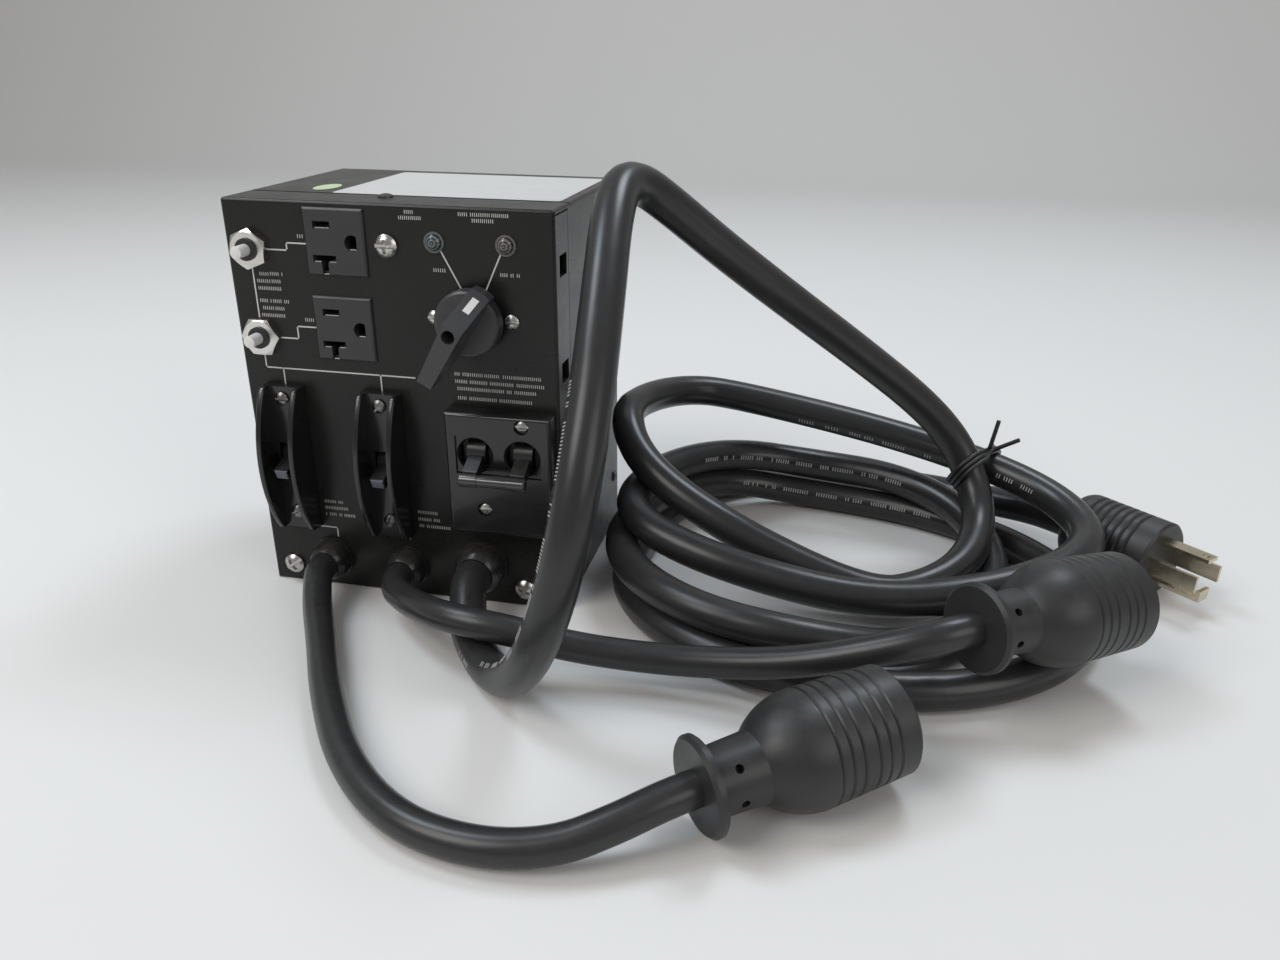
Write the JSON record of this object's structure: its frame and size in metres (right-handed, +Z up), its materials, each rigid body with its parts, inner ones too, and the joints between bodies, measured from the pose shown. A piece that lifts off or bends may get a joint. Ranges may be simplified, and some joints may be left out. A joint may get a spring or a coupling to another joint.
{
  "type": "power distribution unit",
  "caption": "Black metal maintenance-bypass power box with outlets, guarded breakers, rotary switch, corded locking connectors and a coiled input cord.",
  "frame": {"origin": "centre of the case's underside, which stands on the floor", "axes": "+Z up, the front panel faces -Y, +X to the right when looking at the panel"},
  "size_m": [0.4005, 0.3057, 0.1806],
  "materials": {
    "case_black": "satin",
    "dark_screw": "satin",
    "bright_screw": "satin",
    "black_moulding": "matte",
    "handle_grey": "satin",
    "white_mark": "satin",
    "green_lens": "gloss",
    "pink_lens": "gloss",
    "outlet_black": "satin",
    "brass_contact": "satin",
    "nickel_nut": "satin",
    "white_button": "satin",
    "guard_black": "gloss",
    "toggle_black": "satin",
    "tie_bar_dark": "gloss",
    "relief_black": "satin",
    "cord_charcoal": "satin",
    "tie_wire": "satin",
    "connector_rubber": "matte",
    "insert_black": "satin",
    "brass_blade": "satin"
  },
  "bodies": {
    "case": {"front_panel": "case_black", "cover": "case_black", "chassis": "case_black", "cover_screws": "dark_screw", "fixing_screws": "bright_screw", "switch_body": "black_moulding", "switch_screws": "bright_screw", "left_lamp_housing": "black_moulding", "left_lamp_lens": "green_lens", "right_lamp_housing": "black_moulding", "right_lamp_lens": "pink_lens", "outlet_1": "outlet_black", "outlet_1_contacts": "brass_contact", "outlet_2": "outlet_black", "outlet_2_contacts": "brass_contact", "reset_breaker_1_body": "black_moulding", "reset_breaker_1_nut": "nickel_nut", "reset_breaker_2_body": "black_moulding", "reset_breaker_2_nut": "nickel_nut", "output_breaker_1_body": "black_moulding", "output_breaker_1_guard": "guard_black", "output_breaker_2_body": "black_moulding", "output_breaker_2_guard": "guard_black", "output_guard_screws": "dark_screw", "input_breaker_body": "black_moulding", "input_breaker_bezel": "guard_black", "input_bezel_screws": "bright_screw", "strain_relief_1": "relief_black", "strain_relief_2": "relief_black", "strain_relief_3": "relief_black", "relief_locknuts": "black_moulding", "output_cord_1": "cord_charcoal", "output_cord_2": "cord_charcoal", "input_cord": "cord_charcoal", "input_cord_coil": "cord_charcoal", "coil_tie": "tie_wire", "connector_1_body": "connector_rubber", "connector_1_insert": "insert_black", "connector_2_body": "connector_rubber", "connector_2_insert": "insert_black", "plug_body": "connector_rubber", "plug_insert": "insert_black", "plug_blades": "brass_blade", "ground_stud": "nickel_nut", "terminal_block": "black_moulding"},
    "bypass_handle": {"switch_handle": "handle_grey", "handle_pointer": "white_mark", "handle_screw": "bright_screw", "switch_shaft": "bright_screw"},
    "reset_button_1": {"reset_breaker_1_button": "white_button"},
    "reset_button_2": {"reset_breaker_2_button": "white_button"},
    "output_toggle_1": {"output_breaker_1_toggle": "toggle_black"},
    "output_toggle_2": {"output_breaker_2_toggle": "toggle_black"},
    "input_toggles": {"input_breaker_toggles": "toggle_black", "handle_tie_bar": "tie_bar_dark"}
  },
  "joints": [
    {"name": "bypass_switch", "type": "hinge", "parent": "case", "child": "bypass_handle", "pos_m": [0.0334, -0.0485, 0.1227], "axis": [0, -1, 0], "range_deg": [0, 60]},
    {"name": "reset_push_1", "type": "slide", "parent": "case", "child": "reset_button_1", "axis": [0, 1, 0], "range_m": [0, 0.003], "stiffness_N_per_m": 600},
    {"name": "reset_push_2", "type": "slide", "parent": "case", "child": "reset_button_2", "axis": [0, 1, 0], "range_m": [0, 0.003], "stiffness_N_per_m": 600},
    {"name": "output_throw_1", "type": "hinge", "parent": "case", "child": "output_toggle_1", "pos_m": [-0.0488, -0.0469, 0.06101], "axis": [-1, 0, 0], "range_deg": [0, 40]},
    {"name": "output_throw_2", "type": "hinge", "parent": "case", "child": "output_toggle_2", "pos_m": [-0.0068, -0.0469, 0.06101], "axis": [-1, 0, 0], "range_deg": [0, 40]},
    {"name": "input_throw", "type": "hinge", "parent": "case", "child": "input_toggles", "pos_m": [0.043, -0.0501, 0.07031], "axis": [-1, 0, 0], "range_deg": [0, 55]}
  ]
}
